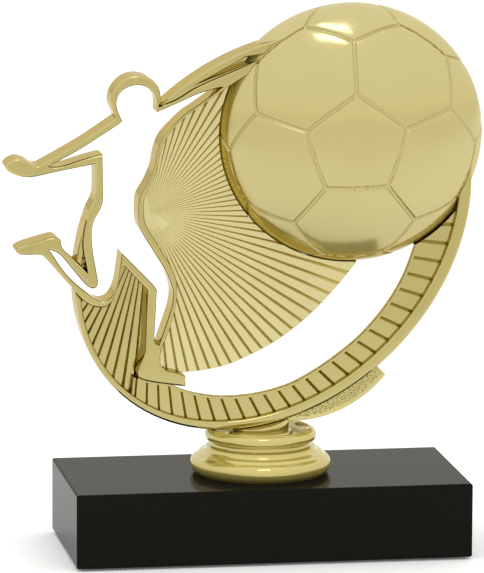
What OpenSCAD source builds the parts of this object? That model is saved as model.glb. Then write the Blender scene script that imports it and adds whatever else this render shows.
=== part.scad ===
// Figure trophy: an outline footballer, an open ring with a ribbed fan, and a large ball,
// carried by a turned collar on a polished stone base.
// X runs to the viewer's right, Y away from the viewer and Z up.
// The origin is the centre of the underside, on the centre line of the threaded rod.

/* [Base] */
// Width of the stone block
base_w = 127; // [110:0.5:150]
// Depth of the stone block
base_d = 60.3; // [56:0.1:80]
// Height of the stone block
base_h = 23.8; // [20:0.1:30]
// Width of the small bevel on the edges of the stone
arris = 0.5; // [0.3:0.1:2]
// Thickness of the felt sheet under the stone
felt_t = 0.8; // [0.5:0.1:1.5]
// Distance from the felt's edge to the edge of the stone
felt_inset = 4; // [2:0.5:8]
// Radius of the hole for the rod
rod_hole_r = 4; // [3.5:0.1:5]
// Radius of the recess for the nut under the stone
recess_r = 16; // [13:0.5:20]
// Depth of the recess for the nut
recess_h = 9; // [8:0.5:11]

/* [Rod and nuts] */
// Radius of the threaded rod
rod_r = 3; // [2.5:0.1:3.2]
// Width of both hex nuts across their flats
nut_flats = 10; // [9:0.5:11]
// Height of the nut under the stone
base_nut_h = 4.6; // [4:0.1:5]
// Height of the nut inside the collar
collar_nut_h = 5; // [4:0.1:6]
// Outer radius of the wide flat washer
washer_r = 12; // [9:0.5:12.5]
// Thickness of the flat washer and of the split washer
washer_t = 1.6; // [1:0.1:1.6]
// Outer radius of the split washer
lock_washer_r = 5.6; // [5:0.1:6.5]

/* [Collar] */
// Radius to the outside of the lower bead
lower_bead_r = 22.6; // [21.5:0.1:24]
// Radius of the lower bead's own section
lower_bead_s = 3.2; // [2.8:0.1:3.4]
// Radius to the outside of the upper bead
upper_bead_r = 17.9; // [17.5:0.1:18.5]
// Radius of the upper bead's own section
upper_bead_s = 2.2; // [2:0.1:2.3]
// Height of the collar's top plate above the stone
collar_top = 13.5; // [13:0.1:13.9]
// Thickness of the collar's top plate
collar_plate_t = 2.8; // [2:0.1:3.2]
// Radius of the hollow inside the collar
collar_hollow_r = 13.2; // [10:0.1:13.4]

/* [Ring] */
// Half of the ring's longer axis, to the outside
ring_a = 71.1; // [69:0.1:73]
// Half of the ring's shorter axis, to the outside
ring_b = 55.6; // [54:0.1:57]
// Angle of the ring's longer axis above the horizontal
ring_tilt = 44.6; // [42:0.1:46]
// Mean width of the rim's front face
rim_w = 2.9; // [2.4:0.1:3.2]
// Distance that the rim's inner edge is moved to the left
rim_shift = 1.1; // [0.5:0.1:1.3]
// Thickness of the ring, the player and the swoosh, front to back
frame_t = 10.8; // [10:0.1:12]

/* [Fan and band] */
// Depth of the band's face behind the rim's face
band_step = 2; // [1.6:0.1:2.4]
// Depth of the fan's face behind the rim's face
fan_step = 4.3; // [3:0.1:5]
// Depth of the lower fan's face behind the rim's face
lower_fan_step = 6; // [5:0.1:6]
// Thickness of the fan, the lower fan and the band
panel_t = 3; // [2.5:0.1:4]
// Number of ribs that a full turn would hold
rib_count = 98; // [72:2:120]
// Width of a groove between ribs, halfway out
groove_w = 1.1; // [0.6:0.1:1.2]
// Depth of a groove between ribs
groove_h = 0.5; // [0.3:0.1:0.7]

/* [Ball] */
// Half of the ball's height
ball_r = 41.6; // [41:0.1:43]
// Width of the ball divided by its height
ball_stretch = 1.03; // [1:0.01:1.05]
// Distance from the rod's centre line back to the ball's widest section
ball_y = 2.7; // [1:0.1:4]
// Depth of the ball in front of its widest section
ball_front = 20.3; // [18:0.1:24]
// Depth of the ball behind its widest section
ball_back = 10; // [6:0.5:14]
// Wall thickness of the ball's shells
shell_t = 2; // [1.6:0.1:2.4]

/* [Cradle] */
// Radius of the cradle's outer edge
cradle_r = 39.5; // [38.5:0.5:40]
// Depth of the cradle's front face behind the ring's face
cradle_step = 3.5; // [3:0.1:4.5]
// Thickness of the flange behind the ring
flange_t = 3; // [2.5:0.1:4]
// How far the flange reaches inwards behind the ring
flange_lap = 6; // [4:0.5:7]
// Radius of the round foot that stands on the collar
foot_r = 9; // [7:0.5:11]

/* [Hidden] */
$fn = 96;

// Heights along the rod's centre line
stone_z = felt_t;
deck_z = felt_t + base_h;
recess_z = stone_z + recess_h;
plate_z = deck_z + collar_top;
rod_low = stone_z + 0.8;
rod_high = plate_z + 1.2;
thread_gap = 0.05;
screw_hole_r = rod_r + 0.2;

// Planes from front to back
front_y = -4.5;
back_y = front_y + frame_t;

// Centres of the large curves, as [x, z]
ring_c = [3.4, 102.8];
rib_c = [-35.9, 109.1];
rib_turn = 0.5;
ball_c = [28.9, 133.6];
cradle_c = [9.9, 80.2];
rib_smooth_r = 5;
groove_start = 0.06;
reach = 140;

gold = [0.85, 0.79, 0.52];
steel = [0.72, 0.73, 0.75];

// Points along a circular arc from angle a0 to angle a1
function arc(c, r, a0, a1, n = 12) =
    [for (i = [0:n]) let (a = a0 + (a1 - a0) * i / n) c + r * [cos(a), sin(a)]];

// One point of a smooth curve that passes through b at t = 0 and through c at t = 1
function blend(a, b, c, d, t) =
    ((3 * (b - c) + d - a) * t * t * t + (2 * a - 5 * b + 4 * c - d) * t * t + (c - a) * t) / 2 + b;

// A smooth open curve through every point of p
function curve(p, n = 4) = let (m = len(p) - 1) concat(
    [for (i = [0:m - 1], j = [0:n - 1])
        blend(p[max(i - 1, 0)], p[i], p[i + 1], p[min(i + 2, m)], j / n)],
    [p[m]]);

// A closed outline from curves that each start where the one before ends
function chain(curves) = [for (c = curves, i = [0:len(c) - 2]) c[i]];

// A tilted ellipse about the ring's centre
function ring_ellipse(shift, a, b, n = 120) = [for (i = [0:n - 1])
    let (u = a * cos(360 * i / n), v = b * sin(360 * i / n))
        ring_c + [shift + u * cos(ring_tilt) - v * sin(ring_tilt),
            u * sin(ring_tilt) + v * cos(ring_tilt)]];

// The player's silhouette, one smooth stretch between each pair of corners
neck_left = [-47.6, 140.2];
neck_right = [-33.6, 144];
armpit = [-54, 125.8];
hip_notch = [-56.5, 91];
crotch = [-44.7, 92.8];
player_edge = chain([
    curve([neck_right, [-33.2, 147.1], [-33.9, 149.9], [-35.5, 152], [-38, 153.4],
        [-41.2, 153.8], [-44, 153.1], [-46.3, 151.5], [-48.1, 149.2], [-49.1, 146.2],
        [-48.8, 143.6], [-47.9, 141.3], neck_left]),
    curve([neck_left, [-58.8, 132.9], [-71.9, 125.7]]),
    curve([[-71.9, 125.7], [-73.4, 125.8], [-76.2, 127.4], [-79.2, 128], [-82.1, 126.4],
        [-82.2, 124.5], [-79.7, 122.9], [-74.8, 121.9], [-66.3, 123.5], armpit]),
    curve([armpit, [-53.9, 118], [-54.4, 114.6], [-56.5, 110], [-57.8, 104.2], [-58, 98.9],
        hip_notch]),
    curve([hip_notch, [-58.6, 93.4], [-61.8, 96.4], [-63.7, 98.1], [-64.8, 99.9],
        [-65, 101.5], [-66.2, 102.5], [-68.2, 102.7], [-75.4, 100.8]]),
    curve([[-75.4, 100.8], [-78.4, 99.6], [-79.2, 98.2], [-77.4, 97.2], [-72.2, 97.1],
        [-70, 96], [-65.5, 90.9], [-61.6, 86.5]]),
    curve([[-61.6, 86.5], [-60, 84.2], [-57.8, 82.1], [-54.9, 80.2], [-52, 79.7], [-50, 80.3],
        [-48.4, 81.9], [-47.5, 84], [-46.3, 88.4], [-45.4, 91.8], crotch]),
    curve([crotch, [-37.3, 84.9]], 1),
    curve([[-37.3, 84.9], [-37.7, 75.8], [-38.2, 65.2], [-40.2, 60], [-40.5, 57.9],
        [-39.4, 56.2], [-34.4, 54.9], [-25, 53.5]]),
    [[-25, 53.5], [-25, 56.9]],
    curve([[-25, 56.9], [-28.2, 58.1], [-31.2, 58.9], [-33, 61.3], [-32.7, 65.8], [-30.3, 72],
        [-28.4, 78.6], [-27.8, 84], [-28, 87.8], [-29.6, 92.1], [-33.2, 98.2], [-37, 104.5],
        [-38.3, 108], [-38.5, 112.6], [-37.7, 115.8], [-35.2, 121.1], [-33.6, 126.9],
        [-32.5, 131], [-30.1, 135.1], [-25.3, 140.1], [-17.6, 145.4], [-8, 151.8], [4, 158]]),
    [[4, 158], [4, 161]],
    curve([[4, 161], [-6.2, 156.3], [-15, 152.7], [-22, 149.6], [-28.1, 145.9], neck_right]),
]);

// The open inside of the player, to the same rule
shoulder = [-51.7, 128.9];
hip_tip = [-45.6, 97.2];
thigh_tip = [-68.7, 98.7];
player_void = chain([
    curve([[-34.3, 141.9], [-34.3, 144.9], [-35.3, 147.7], [-37.7, 149.9], [-40.8, 150.6],
        [-44, 149.8], [-46.3, 147.9], [-47.2, 145.3], [-46.8, 142.5], [-45.3, 139.2]]),
    curve([[-45.3, 139.2], [-49.4, 136.4], [-60.2, 129.8], [-68.9, 125.3]]),
    curve([[-68.9, 125.3], [-65.1, 125.3], [-59.4, 127], [-53.9, 128.5], shoulder]),
    curve([shoulder, [-51.5, 120], [-51.5, 114.4], [-52.3, 111.4], [-54.4, 107.6],
        [-55.1, 103.6], [-54.7, 97.5], [-53.4, 90], [-53.2, 87.2], [-54.6, 85.9], [-57, 87.1],
        [-61.4, 92.4], [-65.4, 97.1], thigh_tip]),
    curve([thigh_tip, [-64.2, 91.9], [-60.1, 87.4], [-56, 84], [-53.9, 82.5], [-51.7, 81.8],
        [-49.5, 82.6], [-47.8, 85], [-46.6, 89.5], hip_tip]),
    curve([hip_tip, [-39.9, 91.3], [-34.8, 85.9], [-34.3, 83.9]]),
    curve([[-34.3, 83.9], [-34.7, 76.5], [-35, 68.9], [-33.6, 67.2]]),
    curve([[-33.6, 67.2], [-31, 74.8], [-29.5, 79.7], [-29.1, 84.2], [-30.5, 88.8],
        [-32.6, 93], [-38.8, 103], [-40.1, 106.3], [-40.4, 110.5], [-39.9, 115], [-37.4, 119.4],
        [-35.4, 124.3], [-34.4, 129.4], [-32.6, 133.9], [-29.1, 137.8], [-25.2, 141.4],
        [-21.5, 143.8], [-13.4, 149.6]]),
    curve([[-13.4, 149.6], [-20.9, 147.6], [-28.3, 144.4], [-34.3, 141.9]]),
]);

// The band's inner edge and the fan's outer edge, closed off beyond the ring and over the fan
band_hole = concat(curve([[-31, 54.6], [-24.2, 51.6], [-15.8, 49.8], [-7.1, 49.6], [1.5, 50.8],
    [9.8, 53.3], [17.5, 57.4], [24.6, 62.2], [31.3, 67.6], [37.2, 73.9], [42.3, 80.8],
    [46.4, 88.4], [49.4, 96.6]]), [[50, 140], [-60, 140], [-60, 60]]);
fan_area = concat(curve([[-36, 56.9], [-25.8, 57.4], [-18.2, 58], [-10.7, 59.6], [-3.6, 62.5],
    [3.2, 65.9], [9.6, 70.1], [15.5, 74.9], [20.9, 80.2], [26, 85.9], [30.8, 91.9],
    [34.6, 98]]), [[40, 150], [-6, 155], [-60, 150], [-60, 60]]);

// Coarse outlines that say which side of the player a panel lies on. They run inside the
// player's silhouette, so the panels take their real edges from it
fan_side = [[-30, 56.5], [-34, 64], [-33.5, 75], [-32, 84], [-34, 92], [-42, 104], [-45, 113],
    [-42, 121], [-38, 131], [-34, 137], [-26, 143.5], [-14, 150.5], [-6, 155], [27, 135],
    [50, 100], [0, 40], [-26, 50]];
lower_fan_side = [[-39.4, 44], [-38.4, 56.5], [-38.5, 58], [-36, 66], [-35.5, 84], [-45, 95],
    [-49.5, 84], [-53, 83], [-58, 88], [-56, 92], [-56, 104], [-60, 110], [-70, 100],
    [-66, 70], [-50, 40]];
band_side = [[-42.6, 48], [-41, 58.8], [-20, 70], [60, 140], [90, 100], [40, 30], [-40, 30]];
ring_side = [[-50, 108], [-70, 108], [-70, 30], [90, 30], [90, 150], [0, 110], [-50, 90]];
swoosh_side = [[-33.6, 144], [-34.4, 145.4], [-32, 152], [0, 172], [20, 160], [4, 157],
    [-20, 148]];
cradle_side = [[-16, 38.2], [-16, 60], [34, 61.5], [42.5, 53.3], [40, 38.2]];
flange_side = [[-22, 38.2], [-22, 62], [34, 61.5], [42.5, 53.3], [40, 38.2]];

// How far the swoosh's outer edge lies below the line of the ring
swoosh_drop = 0.5;

// The narrow channel between the swoosh and the raised arm
channel = [[-23, 150.2], [-6, 159], [4, 160.5], [4, 158.4], [-6.2, 156.8]];

// Makes a plate of an outline drawn as [x, z], from plane y0 at the front to y1
module plate(y0, y1) {
    translate([0, y1, 0]) rotate([90, 0, 0]) linear_extrude(y1 - y0) children();
}

module at(c, r) {
    translate(c) circle(r = r);
}

module ring_outside() {
    polygon(ring_ellipse(0, ring_a, ring_b));
}

module ring_inside() {
    polygon(ring_ellipse(-rim_shift, ring_a - rim_w, ring_b - rim_w));
}

// A rectangle with its four corners cut off
module bevelled(w, h) {
    polygon([for (s = [[1, 1], [-1, 1], [-1, -1], [1, -1]], k = [0, 1])
        let (first = s[0] * s[1] > 0 ? k == 0 : k == 1)
            [s[0] * (w / 2 - (first ? 0 : arris)), s[1] * (h / 2 - (first ? arris : 0))]]);
}

// Radial grooves cut from plane y0 backwards, for the given span of rib numbers
module grooves(y0, first, last) {
    plate(y0 - 1, y0 + groove_h)
        for (i = [first:last])
            translate(rib_c) rotate(rib_turn + 360 * i / rib_count)
                polygon([[rib_smooth_r, -groove_start], [reach, -groove_w], [reach, groove_w],
                    [rib_smooth_r, groove_start]]);
}

// A ring or a disc about the rod, from z0 up to z1
module turned(r_out, r_in, z0, z1) {
    translate([0, 0, z0]) difference() {
        cylinder(r = r_out, h = z1 - z0);
        translate([0, 0, -1]) cylinder(r = r_in, h = z1 - z0 + 2);
    }
}

module hex_nut(z0, h) {
    translate([0, 0, z0]) difference() {
        cylinder(r = nut_flats / sqrt(3), h = h, $fn = 6);
        translate([0, 0, -1]) cylinder(r = rod_r + thread_gap, h = h + 2);
    }
}

// A quarter of the ball's section, from the widest circle to the pole
function quarter(r, depth, n = 24) =
    [for (i = [0:n]) [r * cos(90 * i / n), depth * sin(90 * i / n)]];

// The same for the front: a shallow cap that turns down to the widest circle near its edge
cap_tilt = 36;
cap_share = 0.9;
function dome(r, depth, n = 12) =
    let (cap = cap_share / sin(cap_tilt), edge = (1 - cap_share) / (1 - sin(cap_tilt)),
        low = edge * cos(cap_tilt), scale_y = depth / (low + cap * (1 - cos(cap_tilt))))
    concat(
        [for (i = [0:n]) let (a = 90 - (90 - cap_tilt) * i / n)
            [r * (cap_share + edge * (sin(a) - sin(cap_tilt))), scale_y * edge * cos(a)]],
        [for (i = [1:n]) let (a = cap_tilt * (1 - i / n))
            [r * cap * sin(a), scale_y * (low + cap * (cos(a) - cos(cap_tilt)))]]);

function reversed(p) = [for (i = [len(p) - 1:-1:0]) p[i]];

// Half a hollow ball about Z between two sections, standing on its widest circle. Its rings
// are ovals, and each side ends in one point at the pole
ball_sides = 72;
function oval_ring(p) = [for (k = [0:ball_sides - 1])
    [ball_stretch * p[0] * cos(360 * k / ball_sides), p[0] * sin(360 * k / ball_sides), p[1]]];

module ball_shell(outer, inner) {
    n = len(outer) - 1;
    top = 2 * n * ball_sides;
    sides = [for (k = [0:ball_sides - 1]) [k, (k + 1) % ball_sides]];
    points = concat([for (i = [0:n - 1]) each oval_ring(outer[i])],
        [for (i = [0:n - 1]) each oval_ring(inner[i])],
        [[0, 0, outer[n][1]], [0, 0, inner[n][1]]]);
    faces = concat(
        [for (i = [0:n - 2]) let (low = i * ball_sides, high = low + ball_sides)
            for (s = sides) [low + s[0], high + s[0], high + s[1], low + s[1]]],
        [for (i = [n:2 * n - 2]) let (low = i * ball_sides, high = low + ball_sides)
            for (s = sides) [low + s[0], low + s[1], high + s[1], high + s[0]]],
        [for (s = sides) [(n - 1) * ball_sides + s[0], top, (n - 1) * ball_sides + s[1]]],
        [for (s = sides)
            [(2 * n - 1) * ball_sides + s[0], (2 * n - 1) * ball_sides + s[1], top + 1]],
        [for (s = sides) [s[0], s[1], n * ball_sides + s[1], n * ball_sides + s[0]]]);
    polyhedron(points, faces);
}

module ball_place(forwards) {
    translate([ball_c[0], ball_y, ball_c[1]]) rotate([forwards * 90, 0, 0]) children();
}

// The whole ball as one solid, which the pieces around it are cut to
module ball_body() {
    ball_place(1) scale([ball_stretch, 1, 1]) rotate_extrude()
        polygon(concat([[0, -ball_back]],
            [for (p = reversed(quarter(ball_r, ball_back))) [p[0], -p[1]]],
            dome(ball_r, ball_front)));
}

module marble_base() {
    color([0.1, 0.1, 0.1]) difference() {
        intersection() {
            translate([0, 0, stone_z]) linear_extrude(base_h) bevelled(base_w, base_d);
            plate(-base_d, base_d)
                translate([0, stone_z + base_h / 2]) bevelled(base_w, base_h);
            rotate([0, 0, 90]) plate(-base_w, base_w)
                translate([0, stone_z + base_h / 2]) bevelled(base_d, base_h);
        }
        translate([0, 0, stone_z - 1]) cylinder(r = recess_r, h = recess_h + 1);
        cylinder(r = rod_hole_r, h = deck_z + 1);
    }
}

module base_felt() {
    color([0.08, 0.08, 0.09]) linear_extrude(felt_t)
        bevelled(base_w - 2 * felt_inset, base_d - 2 * felt_inset);
}

module threaded_rod() {
    color(steel) translate([0, 0, rod_low]) cylinder(r = rod_r, h = rod_high - rod_low);
}

module flat_washer() {
    color(steel) turned(washer_r, screw_hole_r, recess_z - washer_t, recess_z);
}

module split_washer() {
    color(steel) difference() {
        turned(lock_washer_r, screw_hole_r, recess_z - 2 * washer_t, recess_z - washer_t);
        translate([0, -0.5, 0]) cube([lock_washer_r + 1, 1, recess_z]);
    }
}

module base_nut() {
    color(steel) hex_nut(recess_z - 2 * washer_t - base_nut_h, base_nut_h);
}

module riser_collar() {
    low = lower_bead_r - lower_bead_s;
    high = upper_bead_r - upper_bead_s;
    section = concat(
        [[collar_hollow_r, 0]],
        [[low - 1.2, 0]],
        arc([low, lower_bead_s + 0.2], lower_bead_s, -60, 75),
        arc([low, 8.6], 1.9, -80, -180, 6),
        arc([17.4, 9.9], 1.3, -140, -220, 6),
        arc([high, 12.2], upper_bead_s, -50, 100),
        [[high - 1.2, collar_top], [screw_hole_r, collar_top]],
        [[screw_hole_r, collar_top - collar_plate_t]],
        [[collar_hollow_r, collar_top - collar_plate_t]]);
    color(gold) translate([0, 0, deck_z]) rotate_extrude() polygon(section);
}

module collar_nut() {
    color(steel) hex_nut(plate_z - collar_plate_t - collar_nut_h, collar_nut_h);
}

module rear_cradle() {
    face_y = front_y + cradle_step;
    color(gold) difference() {
        union() {
            plate(face_y, back_y) intersection() {
                at(cradle_c, cradle_r);
                polygon(cradle_side);
            }
            plate(back_y, back_y + flange_t) difference() {
                intersection() {
                    at(cradle_c, cradle_r);
                    polygon(flange_side);
                }
                polygon(ring_ellipse(0, ring_a - flange_lap, ring_b - flange_lap));
            }
            translate([0, 0, plate_z]) cylinder(r = foot_r, h = flange_lap);
        }
        plate(-foot_r - 1, back_y) ring_outside();
        cylinder(r = rod_r + thread_gap, h = rod_high + 0.2);
    }
}

module ring_rim() {
    color(gold) difference() {
        plate(front_y, back_y) difference() {
            intersection() {
                ring_outside();
                polygon(ring_side);
            }
            ring_inside();
            polygon(player_edge);
        }
        ball_body();
    }
}

module slatted_band() {
    face_y = front_y + band_step;
    color(gold) difference() {
        plate(face_y, face_y + panel_t) difference() {
            intersection() {
                ring_inside();
                polygon(band_side);
            }
            polygon(band_hole);
            polygon(player_edge);
        }
        grooves(face_y, -26, 4);
        ball_body();
    }
}

module fan_panel() {
    face_y = front_y + fan_step;
    color(gold) difference() {
        plate(face_y, face_y + panel_t) difference() {
            intersection() {
                polygon(fan_area);
                polygon(fan_side);
            }
            polygon(player_edge);
        }
        grooves(face_y, -24, 24);
        ball_body();
    }
}

module lower_fan() {
    face_y = front_y + lower_fan_step;
    color(gold) difference() {
        plate(face_y, face_y + panel_t) difference() {
            intersection() {
                ring_inside();
                polygon(lower_fan_side);
            }
            polygon(player_edge);
        }
        grooves(face_y, -40, -25);
    }
}

module shoulder_swoosh() {
    color(gold) difference() {
        plate(front_y, back_y) difference() {
            intersection() {
                translate([0, -swoosh_drop]) ring_outside();
                polygon(swoosh_side);
            }
            polygon(player_edge);
        }
        plate(front_y - 1, 0) polygon(channel);
        ball_body();
    }
}

module player_outline() {
    color(gold) difference() {
        plate(front_y, back_y) difference() {
            polygon(player_edge);
            polygon(player_void);
        }
        ball_body();
    }
}

module ball_front_shell() {
    color(gold) ball_place(1)
        ball_shell(dome(ball_r, ball_front, 8),
            dome(ball_r - shell_t, ball_front - shell_t, 8));
}

module ball_back_shell() {
    color(gold) ball_place(-1)
        ball_shell(quarter(ball_r, ball_back, 16),
            quarter(ball_r - shell_t, ball_back - shell_t, 16));
}

marble_base();
base_felt();
threaded_rod();
flat_washer();
split_washer();
base_nut();
riser_collar();
collar_nut();
rear_cradle();
ring_rim();
slatted_band();
fan_panel();
lower_fan();
shoulder_swoosh();
player_outline();
ball_front_shell();
ball_back_shell();
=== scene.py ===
import math

import bmesh
import bpy
import numpy as np
from mathutils import Matrix, Vector


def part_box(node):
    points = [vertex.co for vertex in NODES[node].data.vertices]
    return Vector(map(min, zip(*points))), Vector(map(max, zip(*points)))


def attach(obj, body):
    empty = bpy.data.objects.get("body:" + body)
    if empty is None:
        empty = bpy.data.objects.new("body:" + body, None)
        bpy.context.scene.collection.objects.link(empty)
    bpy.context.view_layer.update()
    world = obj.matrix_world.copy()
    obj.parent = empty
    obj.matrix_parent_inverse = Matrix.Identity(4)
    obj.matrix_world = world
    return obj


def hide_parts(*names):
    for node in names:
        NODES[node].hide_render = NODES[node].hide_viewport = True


# Lengths in this script are millimetres unless a name says otherwise
MM = 0.001

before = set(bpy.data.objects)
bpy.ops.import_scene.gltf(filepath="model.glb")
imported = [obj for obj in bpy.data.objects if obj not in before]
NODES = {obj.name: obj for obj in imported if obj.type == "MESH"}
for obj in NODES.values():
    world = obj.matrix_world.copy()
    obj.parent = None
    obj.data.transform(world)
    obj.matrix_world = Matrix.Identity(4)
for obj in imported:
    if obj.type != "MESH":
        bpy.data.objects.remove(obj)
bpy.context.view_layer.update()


def box_mm(node):
    """Lowest and highest corner of a CAD node, as arrays."""
    lo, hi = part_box(node)
    return np.array(lo) / MM, np.array(hi) / MM


# ---------------------------------------------------------------- materials

# Most of a noise texture's values lie between these two
NOISE_LOW, NOISE_HIGH = 0.3, 0.7
GOLD_IOR = 2.6
STONE_IOR = 1.068
STONE_EDGE = (1.0, 0.96, 0.8)


def new_material(name):
    """A new material, with its nodes, its links and its Principled shader."""
    mat = bpy.data.materials.new(name)
    mat.use_nodes = True
    tree = mat.node_tree
    shader = tree.nodes["Principled BSDF"]
    return mat, tree.nodes, tree.links, shader


def noise_texture(nodes, links, scale, detail=3.0, roughness=0.5, stretch=None):
    """A noise texture in object space, with its scale in features per metre.

    A stretch multiplies the coordinates along each axis."""
    coordinates = nodes.new("ShaderNodeTexCoord")
    texture = nodes.new("ShaderNodeTexNoise")
    texture.inputs["Scale"].default_value = scale
    texture.inputs["Detail"].default_value = detail
    texture.inputs["Roughness"].default_value = roughness
    if stretch:
        mapping = nodes.new("ShaderNodeMapping")
        mapping.inputs["Scale"].default_value = stretch
        links.new(coordinates.outputs["Object"], mapping.inputs["Vector"])
        links.new(mapping.outputs["Vector"], texture.inputs["Vector"])
    else:
        links.new(coordinates.outputs["Object"], texture.inputs["Vector"])
    return texture


def ramp(nodes, links, source, stops, target):
    """Maps a noise value through colour stops onto an input."""
    node = nodes.new("ShaderNodeValToRGB")
    for _ in range(len(stops) - 2):
        node.color_ramp.elements.new(0.5)
    for element, (place, colour) in zip(node.color_ramp.elements, stops):
        element.position = place
        element.color = (*colour, 1)
    links.new(source, node.inputs["Fac"])
    links.new(node.outputs["Color"], target)


def spread(nodes, links, source, low, high, target):
    """Maps a noise value onto a range of numbers."""
    node = nodes.new("ShaderNodeMapRange")
    node.inputs["From Min"].default_value = NOISE_LOW
    node.inputs["From Max"].default_value = NOISE_HIGH
    node.inputs["To Min"].default_value = low
    node.inputs["To Max"].default_value = high
    links.new(source, node.inputs["Value"])
    links.new(node.outputs["Result"], target)


def bump(nodes, links, source, height_mm, shader):
    """Roughens the surface by a noise value times a height."""
    node = nodes.new("ShaderNodeBump")
    node.inputs["Strength"].default_value = 1.0
    node.inputs["Distance"].default_value = height_mm * MM
    links.new(source, node.inputs["Height"])
    links.new(node.outputs["Normal"], shader.inputs["Normal"])


def gold_material(name, metal, edge, light, dark, rough, waviness):
    """Metallised plastic: a share of metal film over gold lacquer with a tinted edge."""
    mat, nodes, links, shader = new_material(name)
    shader.inputs["Metallic"].default_value = metal
    shader.inputs["IOR"].default_value = GOLD_IOR
    shader.inputs["Specular Tint"].default_value = (*edge, 1)
    cloud = noise_texture(nodes, links, scale=60)
    ramp(nodes, links, cloud.outputs["Fac"], [(NOISE_LOW, dark), (NOISE_HIGH, light)],
         shader.inputs["Base Color"])
    haze = noise_texture(nodes, links, scale=900, detail=5)
    spread(nodes, links, haze.outputs["Fac"], *rough, shader.inputs["Roughness"])
    ripple = noise_texture(nodes, links, scale=90, detail=1)
    bump(nodes, links, ripple.outputs["Fac"], waviness, shader)
    return mat


def stone_material():
    """Polished black stone with a fine grain."""
    mat, nodes, links, shader = new_material("polished_black_stone")
    shader.inputs["IOR"].default_value = STONE_IOR
    shader.inputs["Specular Tint"].default_value = (*STONE_EDGE, 1)
    grain = noise_texture(nodes, links, scale=1800, detail=6, roughness=0.7)
    ramp(nodes, links, grain.outputs["Fac"],
         [(0.35, (0.0075, 0.0075, 0.0065)), (0.6, (0.0095, 0.0095, 0.0082)),
          (0.78, (0.02, 0.02, 0.018))], shader.inputs["Base Color"])
    polish = noise_texture(nodes, links, scale=240, detail=4)
    spread(nodes, links, polish.outputs["Fac"], 0.05, 0.09, shader.inputs["Roughness"])
    bump(nodes, links, grain.outputs["Fac"], 0.0006, shader)
    return mat


def felt_material():
    """Black felt with short fibres."""
    mat, nodes, links, shader = new_material("black_felt")
    shader.inputs["Sheen Weight"].default_value = 0.4
    fibre = noise_texture(nodes, links, scale=2500, detail=8, roughness=0.8)
    ramp(nodes, links, fibre.outputs["Fac"],
         [(NOISE_LOW, (0.006, 0.006, 0.007)), (NOISE_HIGH, (0.03, 0.03, 0.034))],
         shader.inputs["Base Color"])
    spread(nodes, links, fibre.outputs["Fac"], 0.85, 1.0, shader.inputs["Roughness"])
    bump(nodes, links, fibre.outputs["Fac"], 0.15, shader)
    return mat


def steel_material():
    """Zinc-plated steel with fine turning marks."""
    mat, nodes, links, shader = new_material("zinc_plated_steel")
    shader.inputs["Metallic"].default_value = 1.0
    marks = noise_texture(nodes, links, scale=300, detail=5, roughness=0.6,
                          stretch=(1, 1, 14))
    ramp(nodes, links, marks.outputs["Fac"],
         [(NOISE_LOW, (0.46, 0.47, 0.49)), (NOISE_HIGH, (0.66, 0.67, 0.69))],
         shader.inputs["Base Color"])
    spread(nodes, links, marks.outputs["Fac"], 0.25, 0.42, shader.inputs["Roughness"])
    bump(nodes, links, marks.outputs["Fac"], 0.01, shader)
    return mat


WARM_EDGE = (0.74, 0.64, 0.44)
PALE_EDGE = (0.92, 0.93, 0.86)
GOLD = gold_material(
    "pale_gold_metallised", metal=1.0, edge=WARM_EDGE, light=(0.515, 0.45, 0.19),
    dark=(0.485, 0.42, 0.175), rough=(0.04, 0.08), waviness=0.012)
GOLD_BALL = gold_material(
    "pale_gold_metallised_ball", metal=0.4, edge=PALE_EDGE, light=(0.505, 0.425, 0.14),
    dark=(0.485, 0.405, 0.13), rough=(0.12, 0.16), waviness=0.008)
# Painted light: the fan panel takes a lighter copy of the figure's gold, brightening it
# beside the band and the lower fan
GOLD_FAN_LIT_COPY = gold_material(
    "pale_gold_lit_copy_fan", metal=0.86, edge=WARM_EDGE, light=(0.675, 0.61, 0.32),
    dark=(0.64, 0.575, 0.3), rough=(0.06, 0.1), waviness=0.01)
GOLD_COLLAR = gold_material(
    "pale_gold_metallised_collar", metal=0.4, edge=PALE_EDGE, light=(0.56, 0.46, 0.11),
    dark=(0.53, 0.43, 0.1), rough=(0.03, 0.06), waviness=0.006)
GOLD_TEXTURED = gold_material(
    "pale_gold_metallised_stipple", metal=0.85, edge=WARM_EDGE, light=(0.61, 0.54, 0.24),
    dark=(0.55, 0.48, 0.21), rough=(0.1, 0.16), waviness=0.01)
STONE = stone_material()
FELT = felt_material()
STEEL = steel_material()


# ---------------------------------------------------------------- mesh tools

# Vertices of a CAD mesh that lie closer than this are one, in metres
SAME_VERTEX = 2e-6
# How far a vertex may lie off a flat face's plane
PLANE_TOLERANCE = 0.01
# Points of an outline that lie closer than this are one
SAME_POINT = 0.06
# Faces smaller than this, in square millimetres, are left out of a node's outline
SMALLEST_FACE = 0.5
# A corner's inset grows to one over this at most
MITRE_LIMIT = 0.55
# The share of a strip's width that the rounding may take from each side
EDGE_SHARE = 0.36
BACK_EDGE_R = 0.4
ROUNDING_STEPS = 5


def publish(name, bm, material, body, nodes, sharp):
    """Turns a bmesh in millimetres into a finished piece that rides on a CAD body.

    Edges that turn by more than the angle sharp, in degrees, stay crisp."""
    bmesh.ops.recalc_face_normals(bm, faces=bm.faces)
    mesh = bpy.data.meshes.new(name)
    bm.to_mesh(mesh)
    bm.free()
    mesh.transform(Matrix.Scale(MM, 4))
    mesh.shade_smooth()
    mesh.set_sharp_from_angle(angle=math.radians(sharp))
    mesh.materials.append(material)
    obj = bpy.data.objects.new(name, mesh)
    bpy.context.scene.collection.objects.link(obj)
    weighted = obj.modifiers.new("weighted_normals", "WEIGHTED_NORMAL")
    weighted.keep_sharp = True
    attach(obj, body)
    if nodes:
        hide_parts(*nodes)


def area(loop):
    """Signed area of a closed loop, positive when it runs anticlockwise."""
    x, z = np.array(loop).T
    return (x * np.roll(z, -1) - z * np.roll(x, -1)).sum() / 2


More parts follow.
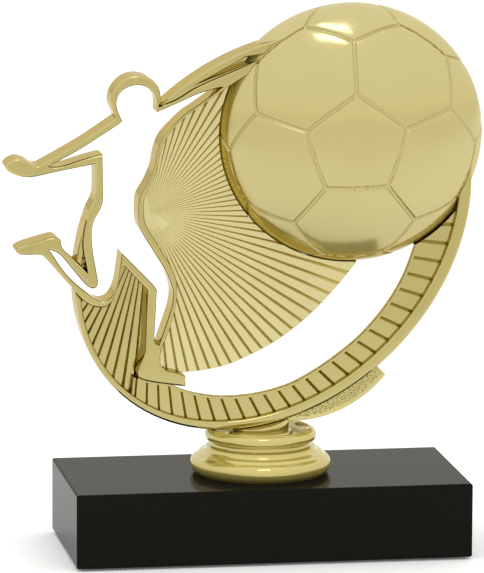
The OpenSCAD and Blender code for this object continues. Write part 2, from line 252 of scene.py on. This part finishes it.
def face_loops(node, plane):
    """Outlines of a CAD node's flat faces on the plane y = plane, as (x, z) loops.

    Outer loops run anticlockwise and holes clockwise, so the material is on the left."""
    bm = bmesh.new()
    bm.from_mesh(NODES[node].data)
    bmesh.ops.remove_doubles(bm, verts=bm.verts, dist=SAME_VERTEX)
    near = PLANE_TOLERANCE * MM
    flat = {f for f in bm.faces
            if all(abs(v.co.y - plane * MM) < near for v in f.verts)}
    step = {}
    # The mesh's own order, and not the set's, gives the same outlines each run
    for face in (f for f in bm.faces if f in flat):
        for loop in face.loops:
            if sum(f in flat for f in loop.edge.link_faces) == 1:
                step[loop.vert] = loop.link_loop_next.vert
    loops = []
    while step:
        start = next(iter(step))
        chain = [start]
        while step.get(chain[-1]) not in (None, start):
            chain.append(step[chain[-1]])
        for v in chain:
            step.pop(v, None)
        loops.append(thinned([(v.co.x / MM, v.co.z / MM) for v in chain]))
    bm.free()
    if area(max(loops, key=lambda p: abs(area(p)))) < 0:
        loops = [p[::-1] for p in loops]
    return [p for p in loops if abs(area(p)) > SMALLEST_FACE]


def thinned(points):
    """Drops points that almost coincide with the one before."""
    kept = [points[0]]
    for p in points[1:]:
        if math.dist(p, kept[-1]) > SAME_POINT:
            kept.append(p)
    if math.dist(kept[0], kept[-1]) < SAME_POINT:
        kept.pop()
    return kept


def inward(loop):
    """Unit directions into the material at a loop's points, and their mitre lengths."""
    p = np.array(loop, float)
    along = np.roll(p, -1, 0) - p
    along /= np.linalg.norm(along, axis=1)[:, None]
    left = np.stack([-along[:, 1], along[:, 0]], 1)
    mean = left + np.roll(left, 1, 0)
    tiny = 1e-6
    mean /= np.maximum(np.linalg.norm(mean, axis=1), tiny)[:, None]
    return p, mean, 1 / np.maximum((mean * left).sum(1), MITRE_LIMIT)


def room(loop, loops, wanted):
    """Share of the wanted inset that fits at each point before the far side comes near."""
    p, way, _ = inward(loop)
    a = np.concatenate([np.array(q, float) for q in loops])
    b = np.concatenate([np.roll(np.array(q, float), -1, 0) for q in loops])
    span = b - a
    far, parallel, self_hit = 1e9, 1e-9, 0.05
    free = np.full(len(p), far)
    for i, (start, d) in enumerate(zip(p, way)):
        det = d[0] * -span[:, 1] + d[1] * span[:, 0]
        det = np.where(np.abs(det) < parallel, parallel, det)
        off = a - start
        t = (off[:, 0] * -span[:, 1] + off[:, 1] * span[:, 0]) / det
        u = (d[0] * off[:, 1] - d[1] * off[:, 0]) / det
        hits = t[(t > self_hit) & (u >= 0) & (u <= 1)]
        if len(hits):
            free[i] = hits.min()
    share = np.minimum(1, EDGE_SHARE * free / wanted)
    smoothing = 4
    for _ in range(smoothing):
        share = np.minimum(share, (np.roll(share, 1) + share + np.roll(share, -1)) / 3)
    return share


def inset(loop, distance, share=1.0):
    """The loop moved by distance into the material on its left."""
    p, way, mitre = inward(loop)
    return p + way * (distance * share * mitre)[:, None]


def ring_of(bm, loop, y):
    """Vertices at a loop's points on the plane y."""
    return [bm.verts.new((x, y, z)) for x, z in loop]


def bridge(bm, a, b):
    """Quads between two closed rings of vertices."""
    n = len(a)
    for i in range(n):
        j = (i + 1) % n
        bm.faces.new((a[i], a[j], b[j], b[i]))


def cap(bm, rings):
    """Fills the space between an outer ring and its holes."""
    edges = []
    for ring in rings:
        for i, v in enumerate(ring):
            w = ring[(i + 1) % len(ring)]
            edges.append(bm.edges.get((v, w)) or bm.edges.new((v, w)))
    bmesh.ops.triangle_fill(bm, edges=edges, use_beauty=True, use_dissolve=False)


def plate_mesh(bm, loops, front, back, radius):
    """Adds a plate with rounded edges between the planes y = front and y = back."""
    turns = [math.radians(90) * k / ROUNDING_STEPS for k in range(ROUNDING_STEPS + 1)]
    section = [(radius * (1 - math.sin(t)), front + radius * (1 - math.cos(t)))
               for t in turns]
    back_r = min(radius, BACK_EDGE_R)
    section += [(back_r * (1 - math.cos(t)), back - back_r * (1 - math.sin(t)))
                for t in turns]
    deepest = max(d for d, _ in section)
    starts, ends = [], []
    for loop in loops:
        share = room(loop, loops, deepest)
        rings = [ring_of(bm, inset(loop, d, share), y) for d, y in section]
        for a, b in zip(rings, rings[1:]):
            bridge(bm, a, b)
        starts.append(rings[0])
        ends.append(rings[-1])
    cap(bm, starts)
    cap(bm, ends)


def rounded_plate(name, loops, front, back, radius, nodes):
    """A flat piece of the figure with rounded edges."""
    bm = bmesh.new()
    plate_mesh(bm, loops, front, back, radius)
    publish(name, bm, GOLD, "figure", nodes, sharp=50)


def lathe(name, section, foot, material, nodes, turns):
    """Turns a closed section of (radius, height) points about an upright axis."""
    bm = bmesh.new()
    angles = [2 * math.pi * i / turns for i in range(turns)]
    rings = [[bm.verts.new((foot[0] + r * math.cos(a), foot[1] + r * math.sin(a),
                            foot[2] + h)) for a in angles] for r, h in section]
    for a, b in zip(rings, rings[1:] + rings[:1]):
        bridge(bm, a, b)
    publish(name, bm, material, "figure", nodes, sharp=40)


def arc(centre, radius, start, end, steps):
    """Points on an arc, in degrees."""
    angles = np.radians(np.linspace(start, end, steps + 1))
    return [(centre[0] + radius * math.cos(a), centre[1] + radius * math.sin(a))
            for a in angles]


# ---------------------------------------------------------------- flat pieces

PLAYER_LO, PLAYER_HI = box_mm("player_outline")
FRONT, BACK = PLAYER_LO[1], PLAYER_HI[1]
EDGE_R = 0.9
CHANNEL_DEPTH = 4.5
CHANNEL_OVERLAP = 0.3
HIDDEN_EDGE_R = 0.15

rounded_plate("player_outline_cast", face_loops("player_outline", FRONT), FRONT, BACK,
              EDGE_R, ["player_outline"])
rounded_plate("ring_rim_cast", face_loops("ring_rim", FRONT), FRONT, BACK, EDGE_R,
              ["ring_rim"])

# The swoosh is cut by a channel in its front half only, so it has two layers
channel_floor = FRONT + CHANNEL_DEPTH
swoosh = bmesh.new()
plate_mesh(swoosh, face_loops("shoulder_swoosh", FRONT), FRONT, channel_floor, EDGE_R)
plate_mesh(swoosh, face_loops("shoulder_swoosh", BACK), channel_floor - CHANNEL_OVERLAP,
           BACK, HIDDEN_EDGE_R)
publish("shoulder_swoosh_cast", swoosh, GOLD, "figure", ["shoulder_swoosh"],
        sharp=50)

# ---------------------------------------------------------------- ribbed panels

RIB_CENTRE = (-35.9, 109.1)
RIBS_PER_TURN = 98
RIB_PITCH = math.radians(360 / RIBS_PER_TURN)
RIB_TURN = math.radians(0.5)
GROOVE_DEPTH = 0.8
FAN_GROOVE = 0.28
BAND_GROOVE = 0.2
CUT_TOLERANCE = 1e-4
SHORTEST_EDGE = 0.01
# The grooves deepen from nothing to their full depth between these radii
GROOVE_START = 5.0
GROOVE_FULL = 40.0


def in_order(bm):
    """The same mesh with its vertices and faces in an order that only its shape decides.

    The order that cuts and extrusions leave can change from one run to the next."""
    vertices = sorted(bm.verts, key=lambda v: tuple(v.co))
    rank = {v: i for i, v in enumerate(vertices)}
    faces = [[rank[v] for v in face.verts] for face in bm.faces]
    made = bmesh.new()
    copies = [made.verts.new(v.co) for v in vertices]
    for corners in sorted(faces, key=sorted):
        made.faces.new([copies[i] for i in corners])
    bm.free()
    return made


def ribbed_panel(name, node, first, last, share, material):
    """A panel with grooves number first to last that fan out from the rib centre.

    Each groove takes a share of the pitch between two of them."""
    lo, hi = box_mm(node)
    face, back = lo[1], hi[1]
    bm = bmesh.new()
    for loop in face_loops(node, back):
        cap(bm, [ring_of(bm, loop, face)])
    centre = Vector((RIB_CENTRE[0], face, RIB_CENTRE[1]))
    for rib in range(first, last + 1):
        for part in (-share / 2, 0, share / 2, 0.5):
            a = RIB_TURN + (rib + part) * RIB_PITCH
            bmesh.ops.bisect_plane(
                bm, geom=bm.verts[:] + bm.edges[:] + bm.faces[:],
                dist=CUT_TOLERANCE,
                plane_co=centre, plane_no=(-math.sin(a), 0, math.cos(a)))
    bmesh.ops.dissolve_degenerate(bm, dist=SHORTEST_EDGE, edges=bm.edges[:])
    for v in bm.verts:
        x, z = v.co.x - centre.x, v.co.z - centre.z
        turn = (math.atan2(z, x) - RIB_TURN) / RIB_PITCH
        off = abs(turn - round(turn)) / (share / 2)
        size = (math.hypot(x, z) - GROOVE_START) / (GROOVE_FULL - GROOVE_START)
        v.co.y += max(0.0, 1 - off) * GROOVE_DEPTH * min(max(size, 0.0), 1.0)
    made = bmesh.ops.extrude_face_region(bm, geom=bm.faces[:])
    for v in made["geom"]:
        if isinstance(v, bmesh.types.BMVert):
            v.co.y = back
    publish(name, in_order(bm), material, "figure", [node], sharp=18)


ribbed_panel("fan_panel_ribbed", "fan_panel", -24, 24, FAN_GROOVE, GOLD_FAN_LIT_COPY)
ribbed_panel("lower_fan_ribbed", "lower_fan", -42, -24, FAN_GROOVE, GOLD)
ribbed_panel("slatted_band_ribbed", "slatted_band", -27, 5, BAND_GROOVE, GOLD)

# The smooth border along the band's inner edge
BAND_CENTRE = (-12.8, 114.0)
BAND_REACH = 65.9
BORDER_W = 0.7
BORDER_RISE = 0.03
BORDER_DEPTH = 1.5
BORDER_EDGE_R = 0.05
# The border starts this far from the band's left end
BORDER_START = 4.0
band_lo, band_hi = box_mm("slatted_band")
band_loop = max(face_loops("slatted_band", band_hi[1]), key=lambda p: abs(area(p)))
inner = [math.dist(p, BAND_CENTRE) < BAND_REACH and p[0] > band_lo[0] + BORDER_START
         for p in band_loop]
start = next(i for i in range(len(inner)) if inner[i] and not inner[i - 1])
order = [(start + i) % len(inner) for i in range(len(inner))]
edge_line = [band_loop[i] for i in order if inner[i]]
moved = inset(band_loop, BORDER_W)
inset_line = [tuple(moved[i]) for i in order if inner[i]]
rounded_plate("slatted_band_border", [edge_line + inset_line[::-1]],
              band_lo[1] - BORDER_RISE, band_lo[1] + BORDER_DEPTH, BORDER_EDGE_R, [])

# ---------------------------------------------------------------- ball

front_lo, front_hi = box_mm("ball_front_shell")
back_lo, back_hi = box_mm("ball_back_shell")
BALL_C = np.array([(front_hi[0] + front_lo[0]) / 2, front_hi[1],
                   (front_hi[2] + front_lo[2]) / 2])
HALF_W = (front_hi[0] - front_lo[0]) / 2
HALF_H = (front_hi[2] - front_lo[2]) / 2
CAP_TILT = math.radians(36)
CAP_SHARE = 0.9
PATTERN_POLE = np.array([-0.028, 0, -0.0535])
PATTERN_STRETCH = 1.1645
PATTERN_TURN = math.radians(-0.77)
# Distances of a truncated icosahedron's faces from its centre, for edges of length 1
FIVE_SIDED_REACH = 2.32744
SIX_SIDED_REACH = 2.26728
SEAM_HALF = 0.42
SEAM_WALL = 0.28
SEAM_DEPTH = 0.62
PUFF_DEPTH = 0.12
PUFF_REACH = 4.0
# The closed lip behind each half lies this share of the way out from the centre
LIP_SHARE = 0.94


def panel_axes():
    """Directions of the ball's 12 five-sided and 20 six-sided panels, the first at +Z."""
    low = math.atan(0.5)
    five = [(0, 0, 1)]
    for sign in (1, -1):
        for k in range(5):
            a = math.radians(90 + 72 * k + (0 if sign > 0 else 36))
            five.append((math.cos(low) * math.cos(a), math.cos(low) * math.sin(a),
                         sign * math.sin(low)))
    five = np.array(five + [(0, 0, -1)], float)
    # Axes of five-sided panels on either side of a seam have a dot product over this
    neighbours = 0.4
    six = []
    for i in range(len(five)):
        for j in range(i):
            for k in range(j):
                dots = five[i] @ five[j], five[j] @ five[k], five[i] @ five[k]
                if min(dots) > neighbours:
                    total = five[i] + five[j] + five[k]
                    six.append(total / np.linalg.norm(total))
    return five, np.array(six)


def seam_distance(direction):
    """Distance along the ball from each unit direction to the nearest seam."""
    pole = PATTERN_POLE.copy()
    pole[1] = -math.sqrt(1 - pole @ pole)
    up = np.array([0.0, 0.0, 1.0])
    up -= pole * (up @ pole)
    up /= np.linalg.norm(up)
    right = np.cross(up, -pole)
    tilt = np.arccos(np.clip(direction @ pole, -1, 1)) / PATTERN_STRETCH
    turn = np.arctan2(direction @ up, direction @ right) - PATTERN_TURN
    d = np.stack([np.sin(tilt) * np.cos(turn), np.sin(tilt) * np.sin(turn),
                  np.cos(tilt)], 1)
    five, six = panel_axes()
    planes = np.concatenate([five / FIVE_SIDED_REACH, six / SIX_SIDED_REACH])
    reach = d @ planes.T
    best = np.argsort(-reach, axis=1)[:, :2]
    rows = np.arange(len(d))
    gap = reach[rows, best[:, 0]] - reach[rows, best[:, 1]]
    slope = planes[best[:, 0]] - planes[best[:, 1]]
    slope -= d * (slope * d).sum(1)[:, None]
    return gap / np.linalg.norm(slope, axis=1) * PATTERN_STRETCH * HALF_H


def smooth(t):
    """An even step from 0 to 1."""
    t = np.clip(t, 0, 1)
    return t * t * (3 - 2 * t)


def seam_profile(d):
    """How far the surface lies below the ball's true shape, at distance d from a seam."""
    wall = 1 - smooth((d - SEAM_HALF) / SEAM_WALL)
    puff = (1 - np.clip((d - SEAM_HALF) / PUFF_REACH, 0, 1)) ** 2
    return SEAM_DEPTH * wall + PUFF_DEPTH * puff


def square_to_disc(u, v):
    """Maps a square grid onto a disc without crowding its middle."""
    big_u = np.abs(u) >= np.abs(v)
    r = np.where(big_u, u, v)
    safe = np.where(r == 0, 1, r)
    turn = np.where(big_u, np.pi / 4 * v / safe, np.pi / 2 - np.pi / 4 * u / safe)
    return r * np.cos(turn), r * np.sin(turn)


def cap_height(s):
    """The front's height over its widest section, at a share s of the radius."""
    cap_r = CAP_SHARE / math.sin(CAP_TILT)
    edge_r = (1 - CAP_SHARE) / (1 - math.sin(CAP_TILT))
    low = edge_r * math.cos(CAP_TILT)
    lean = np.clip((s - CAP_SHARE) / edge_r + math.sin(CAP_TILT), -1, 1)
    edge = edge_r * np.sqrt(1 - lean ** 2)
    crown = low + cap_r * (np.sqrt(1 - np.clip(s / cap_r, 0, 1) ** 2) - math.cos(CAP_TILT))
    return np.where(s > CAP_SHARE, edge, crown) / (low + cap_r * (1 - math.cos(CAP_TILT)))


def round_height(s):
    """The back's height over its widest section, at a share s of the radius."""
    return np.sqrt(1 - np.clip(s, 0, 1) ** 2)


def dome(name, depth, side, height, grid, node):
    """Half of the panelled ball, from its widest circle to the pole on that side."""
    line = np.linspace(-1, 1, grid + 1)
    u, v = (a.ravel() for a in np.meshgrid(line, line))
    x, z = square_to_disc(u, v)
    s = np.hypot(x, z)
    lean = np.pi / 2 * s
    unit = np.where(s > 0, np.sin(lean) / np.where(s > 0, s, 1), np.pi / 2)
    x, z, s = x * unit, z * unit, np.sin(lean)
    d = seam_distance(np.stack([x, -np.cos(lean), z], 1))
    # The slope is measured over a short step, and at the widest circle it is upright
    step, tiny, upright = 1e-4, 1e-9, 1e6
    inner = np.clip(s - step, 0, 1)
    outer = np.clip(s + step, 0, 1)
    fall = (height(inner) - height(outer)) / np.maximum(outer - inner, tiny) * depth
    radial = np.where(s > 1 - 1 / upright, upright, fall) / np.maximum(s, tiny)
    normal = np.stack([x * radial / HALF_W, np.full(len(s), float(side)),
                       z * radial / HALF_H], 1)
    normal /= np.linalg.norm(normal, axis=1)[:, None]
    points = np.stack([x * HALF_W, side * depth * height(s), z * HALF_H], 1)
    points -= normal * seam_profile(d)[:, None]
    points += BALL_C
    bm = bmesh.new()
    verts = [bm.verts.new(p) for p in points]
    n = grid + 1
    for i in range(grid):
        for j in range(grid):
            a = i * n + j
            bm.faces.new((verts[a], verts[a + 1], verts[a + n + 1], verts[a + n]))
    rim = ([verts[j] for j in range(n)] + [verts[i * n + grid] for i in range(1, n)]
           + [verts[grid * n + j] for j in range(grid - 1, -1, -1)]
           + [verts[i * n] for i in range(grid - 1, 0, -1)])
    middle = Vector(BALL_C)
    lip = [bm.verts.new(middle + (v.co - middle) * LIP_SHARE) for v in rim]
    bridge(bm, rim, lip)
    bm.faces.new(lip)
    publish(name, bm, GOLD_BALL, "figure", [node], sharp=60)


def paint_rim_reflection(material, centre, start, full, colour):
    """Paints a reflection into a material's colour, deepening it from one radius out to
    another about an axis along y.
    """
    nodes, links = material.node_tree.nodes, material.node_tree.links
    target = nodes["Principled BSDF"].inputs["Base Color"]
    coordinates = nodes.new("ShaderNodeTexCoord")
    flat = nodes.new("ShaderNodeMapping")
    flat.inputs["Scale"].default_value = (1, 0, 1)
    links.new(coordinates.outputs["Object"], flat.inputs["Vector"])
    away = nodes.new("ShaderNodeVectorMath")
    away.operation = "DISTANCE"
    away.inputs[1].default_value = (centre[0] * MM, 0, centre[1] * MM)
    links.new(flat.outputs["Vector"], away.inputs[0])
    share = nodes.new("ShaderNodeMapRange")
    share.inputs["From Min"].default_value = start * MM
    share.inputs["From Max"].default_value = full * MM
    links.new(away.outputs["Value"], share.inputs["Value"])
    mix = nodes.new("ShaderNodeMix")
    mix.data_type = "RGBA"
    # The colour sockets of the mix node share their names with its other kinds
    factor, first, second, result = (mix.inputs[0], mix.inputs[6], mix.inputs[7],
                                     mix.outputs[2])
    links.new(share.outputs["Result"], factor)
    links.new(target.links[0].from_socket, first)
    second.default_value = (*colour, 1)
    links.new(result, target)


# Painted reflection: the ball's colour deepens to a saturated gold along the lower left of
# its edge, where neighbouring gold is mirrored
PAINTED_REFLECTION_GOLD = (0.42, 0.29, 0.01)
paint_rim_reflection(GOLD_BALL, centre=(BALL_C[0] + 1.2, BALL_C[2] + 2.6), start=40.0, full=43.2,
            colour=PAINTED_REFLECTION_GOLD)
FRONT_GRID, BACK_GRID = 400, 200
dome("ball_front_panels", front_hi[1] - front_lo[1], -1, cap_height, FRONT_GRID,
     "ball_front_shell")
dome("ball_back_panels", back_hi[1] - back_lo[1], 1, round_height, BACK_GRID,
     "ball_back_shell")

# ---------------------------------------------------------------- collar

collar_lo, collar_hi = box_mm("riser_collar")
LOWER_R = collar_hi[0]
HOLLOW_R, HOLLOW_TOP = 13.2, 10.7
BORE_R, BOSS_R, BOSS_TOP = 3.2, 9.9, 13.5
lower_bead = arc((LOWER_R - 3.0, 3.0), 3.0, -62, 75, 18)
cove = arc((19.4, 8.6), 1.9, -80, -180, 8)
neck = arc((17.4, 9.9), 1.3, -140, -220, 8)
upper_bead = arc((15.7, 12.2), 2.2, -50, 100, 16)
top_groove = [(14.3, 13.7), (13.6, 12.4), (10.4, 12.3)]
collar_section = (
    [(HOLLOW_R, 0.0), (LOWER_R - 1.9, 0.0)] + lower_bead + cove + neck + upper_bead
    + top_groove + [(BOSS_R, BOSS_TOP), (BORE_R, BOSS_TOP), (BORE_R, HOLLOW_TOP),
                    (HOLLOW_R, HOLLOW_TOP)])
lathe("riser_collar_turned", collar_section, (0, 0, collar_lo[2]), GOLD_COLLAR,
      ["riser_collar"], turns=200)

# ---------------------------------------------------------------- cradle

# The cradle's face is stippled with small pyramids inside a smooth rim
STIPPLE_STEP = 0.55
ROW_SHARE = 0.87
STIPPLE_R = 0.34
STIPPLE_H = 0.15
STIPPLE_SINK = 0.05
STIPPLE_JITTER = 0.16
STIPPLE_SIZES = (0.75, 1.1)
STIPPLE_SEED = 7
CRADLE_RIM = 1.3
# How far the cradle's face lies behind the figure's front
CRADLE_STEP = 3.5


def distance_to(loops, x, z):
    """Distance from points to the loops, and whether they lie inside them.

    Only the sides along the lower edge keep the whole width of the rim."""
    far = 1e9
    near = np.full(x.shape, far)
    inside = np.zeros(x.shape, bool)
    for loop in loops:
        for (ax, az), (bx, bz) in zip(loop, loop[1:] + loop[:1]):
            dx, dz = bx - ax, bz - az
            t = np.clip(((x - ax) * dx + (z - az) * dz) / (dx * dx + dz * dz), 0, 1)
            gap = np.hypot(x - ax - t * dx, z - az - t * dz)
            near = np.minimum(near, gap if dx > 0 else gap + CRADLE_RIM - STIPPLE_R)
            if az != bz:
                inside ^= ((az > z) != (bz > z)) & (x < ax + dx * (z - az) / dz)
    return near, inside


def stipple():
    """Pyramids of uneven size and turn, in rows over the cradle's face."""
    lo, hi = box_mm("rear_cradle")
    face = FRONT + CRADLE_STEP
    loops = [[tuple(q) for q in loop] for loop in face_loops("rear_cradle", face)]
    rng = np.random.default_rng(STIPPLE_SEED)
    xs, zs = np.meshgrid(np.arange(lo[0], hi[0], STIPPLE_STEP),
                         np.arange(lo[2], hi[2], STIPPLE_STEP * ROW_SHARE))
    xs[1::2] += STIPPLE_STEP / 2
    xs, zs = xs.ravel(), zs.ravel()
    xs = xs + rng.uniform(-STIPPLE_JITTER, STIPPLE_JITTER, xs.size)
    zs = zs + rng.uniform(-STIPPLE_JITTER, STIPPLE_JITTER, zs.size)
    size = rng.uniform(*STIPPLE_SIZES, xs.size)
    spin = rng.uniform(0, math.pi / 2, xs.size)
    near, inside = distance_to(loops, xs, zs)
    bm = bmesh.new()
    kept = inside & (near > CRADLE_RIM)
    for x, z, k, a in zip(xs[kept], zs[kept], size[kept], spin[kept]):
        base = [bm.verts.new((x + STIPPLE_R * k * math.cos(a + q * math.pi / 2),
                              face + STIPPLE_SINK,
                              z + STIPPLE_R * k * math.sin(a + q * math.pi / 2)))
                for q in range(4)]
        tip = bm.verts.new((x, face - STIPPLE_H * k, z))
        for q in range(4):
            bm.faces.new((base[q], base[(q + 1) % 4], tip))
        bm.faces.new(base[::-1])
    publish("rear_cradle_stipple", bm, GOLD_TEXTURED, "figure", [], sharp=20)


stipple()

# ---------------------------------------------------------------- carried-over nodes

# How the carried-over nodes' edges are softened
WELD_METRES = 1e-6
FLAT_DEGREES = 1
BEVEL_DEGREES = 35
BEVEL_SEGMENTS = 2


def carry(node, material, width=0.0):
    """Shows a CAD node with a finish and, where a width is given, softened edges."""
    obj = NODES[node]
    obj.data.materials.clear()
    obj.data.materials.append(material)
    if width:
        weld = obj.modifiers.new("weld", "WELD")
        weld.merge_threshold = WELD_METRES
        flat = obj.modifiers.new("flatten", "DECIMATE")
        flat.decimate_type = "DISSOLVE"
        flat.angle_limit = math.radians(FLAT_DEGREES)
        bevel = obj.modifiers.new("softened_edges", "BEVEL")
        bevel.width = width * MM
        bevel.segments = BEVEL_SEGMENTS
        bevel.limit_method = "ANGLE"
        bevel.angle_limit = math.radians(BEVEL_DEGREES)
        bevel.harden_normals = True


carry("rear_cradle", GOLD_TEXTURED, 0.3)
carry("marble_base", STONE, 0.18)
carry("base_felt", FELT)
for hidden in ("threaded_rod", "flat_washer", "split_washer", "base_nut", "collar_nut"):
    carry(hidden, STEEL)

# ---------------------------------------------------------------- stage, light, camera

# Where the floor's tone changes, in metres along the view, and how bright it is behind
FLOOR_NEAR, FLOOR_FAR = -0.5, -0.12
FLOOR_RADIUS = 8
FLOOR_GLOW = 0.08
TENT_STRENGTH = 1.08


def make_floor():
    """A pale floor, with painted shade that leaves it darker and warmer in front of the
    trophy, glowing faintly from there back.
    """
    bm = bmesh.new()
    bmesh.ops.create_circle(bm, cap_ends=True, segments=96, radius=FLOOR_RADIUS)
    mesh = bpy.data.meshes.new("studio_floor")
    bm.to_mesh(mesh)
    bm.free()
    mat, nodes, links, shader = new_material("studio_floor")
    coordinates = nodes.new("ShaderNodeTexCoord")
    parts = nodes.new("ShaderNodeSeparateXYZ")
    links.new(coordinates.outputs["Object"], parts.inputs["Vector"])
    depth = nodes.new("ShaderNodeMapRange")
    depth.inputs["From Min"].default_value = FLOOR_NEAR
    depth.inputs["From Max"].default_value = FLOOR_FAR
    links.new(parts.outputs["Y"], depth.inputs["Value"])
    # Painted shade: the floor's colour is darker and warmer in front of the trophy than
    # behind it
    ramp(nodes, links, depth.outputs["Result"],
         [(0.0, (0.84, 0.82, 0.76)), (1.0, (0.95, 0.95, 0.95))],
         shader.inputs["Base Color"])
    glow = nodes.new("ShaderNodeMapRange")
    glow.inputs["To Max"].default_value = FLOOR_GLOW
    links.new(depth.outputs["Result"], glow.inputs["Value"])
    links.new(glow.outputs["Result"], shader.inputs["Emission Strength"])
    shader.inputs["Roughness"].default_value = 0.9
    shader.inputs["Specular IOR Level"].default_value = 0.0
    shader.inputs["Emission Color"].default_value = (1, 1, 1, 1)
    mesh.materials.append(mat)
    obj = bpy.data.objects.new("studio_floor", mesh)
    bpy.context.scene.collection.objects.link(obj)


def make_world():
    """A white light tent, warmer and darker towards the horizon."""
    world = bpy.data.worlds.new("light_tent")
    bpy.context.scene.world = world
    world.use_nodes = True
    nodes, links = world.node_tree.nodes, world.node_tree.links
    background = nodes["Background"]
    background.inputs["Strength"].default_value = TENT_STRENGTH
    coordinates = nodes.new("ShaderNodeTexCoord")
    parts = nodes.new("ShaderNodeSeparateXYZ")
    links.new(coordinates.outputs["Generated"], parts.inputs["Vector"])
    ramp(nodes, links, parts.outputs["Z"],
         [(0.0, (0.88, 0.86, 0.77)), (0.14, (1.08, 1.04, 0.9)), (0.3, (1.05, 1.05, 1.02)),
          (1.0, (1.12, 1.12, 1.12))], background.inputs["Color"])


def area_light(name, place, target, size, power):
    """A rectangular lamp that faces a target, with its lengths in metres."""
    light = bpy.data.lights.new(name, "AREA")
    light.shape = "RECTANGLE"
    light.size, light.size_y = size
    light.energy = power
    obj = bpy.data.objects.new(name, light)
    obj.location = place
    obj.rotation_mode = "QUATERNION"
    obj.rotation_quaternion = (Vector(target) - Vector(place)).to_track_quat("-Z", "Y")
    bpy.context.scene.collection.objects.link(obj)


def make_camera():
    """The photograph's view: a long lens, a little to the left and above, in metres."""
    place = Vector((-0.2848, -1.6655, 0.3757))
    forward = Vector((0.16256, 0.97198, -0.16979)).normalized()
    up = Vector((0.02343, 0.16823, 0.98547))
    right = forward.cross(up).normalized()
    up = right.cross(forward)
    data = bpy.data.cameras.new("camera")
    data.lens = 337.4
    data.sensor_width = 36
    data.clip_start, data.clip_end = 0.05, 50
    obj = bpy.data.objects.new("camera", data)
    turn = Matrix((right, up, -forward)).transposed().to_4x4()
    obj.matrix_world = Matrix.Translation(place) @ turn
    bpy.context.scene.collection.objects.link(obj)
    bpy.context.scene.camera = obj


make_floor()
make_world()
area_light("overhead_softbox", place=(-0.02, -0.87, 1.45), target=(0, 0, 0.12),
           size=(0.44, 0.22), power=1.5)
make_camera()
bpy.context.scene.view_settings.view_transform = "Standard"
